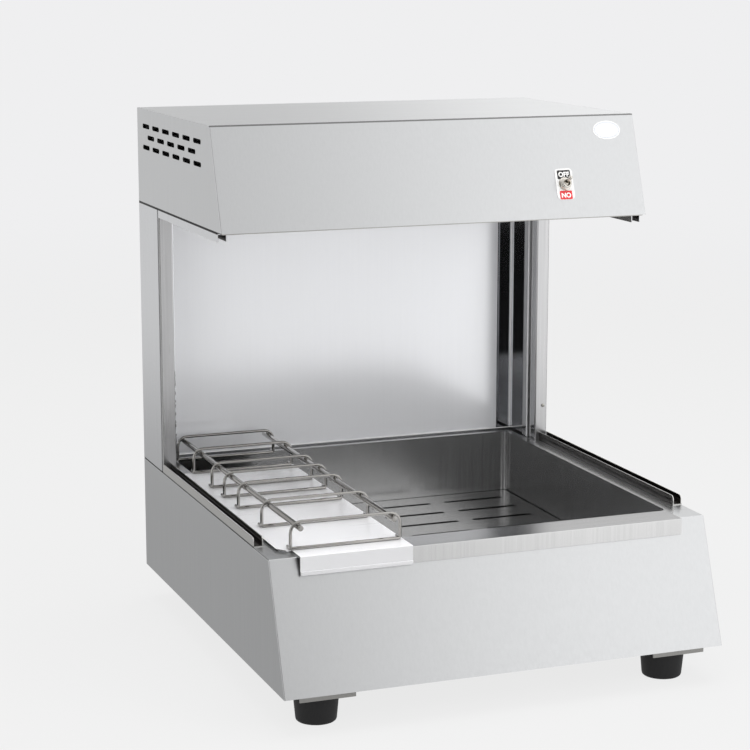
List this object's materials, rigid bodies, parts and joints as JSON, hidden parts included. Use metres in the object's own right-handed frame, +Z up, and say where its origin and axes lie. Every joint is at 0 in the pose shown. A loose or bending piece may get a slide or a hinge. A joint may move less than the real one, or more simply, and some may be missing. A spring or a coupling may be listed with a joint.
{
  "type": "chip warmer",
  "caption": "Counter-top chip warmer in folded stainless sheet: open-fronted bay with a lift-out pan under a heated hood, and a wire cup rack on a shelf beside the chips.",
  "frame": {"origin": "on the counter, under the middle of the body's width and depth", "axes": "+Z up, the front faces -Y, +X to the right for someone who stands at the front"},
  "size_m": [0.56, 0.6, 0.67],
  "materials": {
    "satin_sheet": "satin stainless, fine vertical grain",
    "bright_sheet": "bright stainless",
    "inner_sheet": "mill finish",
    "reflector_sheet": "bright",
    "wire": "polished",
    "rubber": "matte",
    "zinc_fasteners": "zinc plated",
    "nickel": "nickel plated",
    "black_plastic": "satin",
    "white_label": "printed",
    "quartz": "clear quartz",
    "heater_wire": "oxidised resistance wire",
    "ceramic": "unglazed ceramic"
  },
  "bodies": {
    "cabinet": {"back_wall": "bright_sheet", "base_back_panel": "satin_sheet", "base_floor": "inner_sheet", "base_shell": "satin_sheet", "cable_gland": "black_plastic", "foot_nuts": "zinc_fasteners", "foot_screws": "zinc_fasteners", "front_heater_tube": "quartz", "front_left_foot": "rubber", "front_left_foot_plate": "inner_sheet", "front_right_foot": "rubber", "front_right_foot_plate": "inner_sheet", "gland_nut": "black_plastic", "guard_clips": "inner_sheet", "heater_coils": "heater_wire", "heater_end_caps": "ceramic", "heater_guard": "wire", "hood_body": "satin_sheet", "hood_floor": "inner_sheet", "hood_lid": "satin_sheet", "inlet_recess": "inner_sheet", "left_front_post": "satin_sheet", "left_lower_glass_channel": "satin_sheet", "left_side_panel": "satin_sheet", "left_tube_bracket": "inner_sheet", "left_upper_glass_channel": "satin_sheet", "post_screw": "zinc_fasteners", "rear_cover": "satin_sheet", "rear_heater_tube": "quartz", "rear_left_foot": "rubber", "rear_left_foot_plate": "inner_sheet", "rear_right_foot": "rubber", "rear_right_foot_plate": "inner_sheet", "rear_screws": "zinc_fasteners", "reflector": "reflector_sheet", "right_front_post": "satin_sheet", "right_lower_glass_channel": "satin_sheet", "right_side_panel": "satin_sheet", "right_tube_bracket": "inner_sheet", "right_upper_glass_channel": "satin_sheet", "switch_body": "black_plastic", "switch_nut": "nickel", "switch_plate": "white_label", "terminal_block": "black_plastic"},
    "toggle": {"toggle_lever": "nickel"},
    "pan": {"chip_pan": "bright_sheet"},
    "drain_plate": {"drain_plate": "bright_sheet"},
    "cup_rack": {"cup_shelf": "bright_sheet", "left_rack_rod": "wire", "right_rack_rod": "wire", "cup_hoop_1": "wire", "cup_hoop_2": "wire", "cup_hoop_3": "wire", "cup_hoop_4": "wire", "cup_hoop_5": "wire", "cup_hoop_6": "wire", "cup_hoop_7": "wire"}
  },
  "joints": [
    {"name": "toggle_tilt", "type": "hinge", "parent": "cabinet", "child": "toggle", "pos_m": [0.1725, -0.06756, 0.58831], "axis": [1, 0, 0], "range_deg": [0, 30]},
    {"name": "pan_lift", "type": "slide", "parent": "cabinet", "child": "pan", "axis": [0, 0, 1], "range_m": [0, 0.13]},
    {"name": "drain_plate_lift", "type": "slide", "parent": "pan", "child": "drain_plate", "axis": [0, 0, 1], "range_m": [0, 0.13]},
    {"name": "rack_lift", "type": "slide", "parent": "pan", "child": "cup_rack", "axis": [0, 0, 1], "range_m": [0, 0.12]}
  ]
}
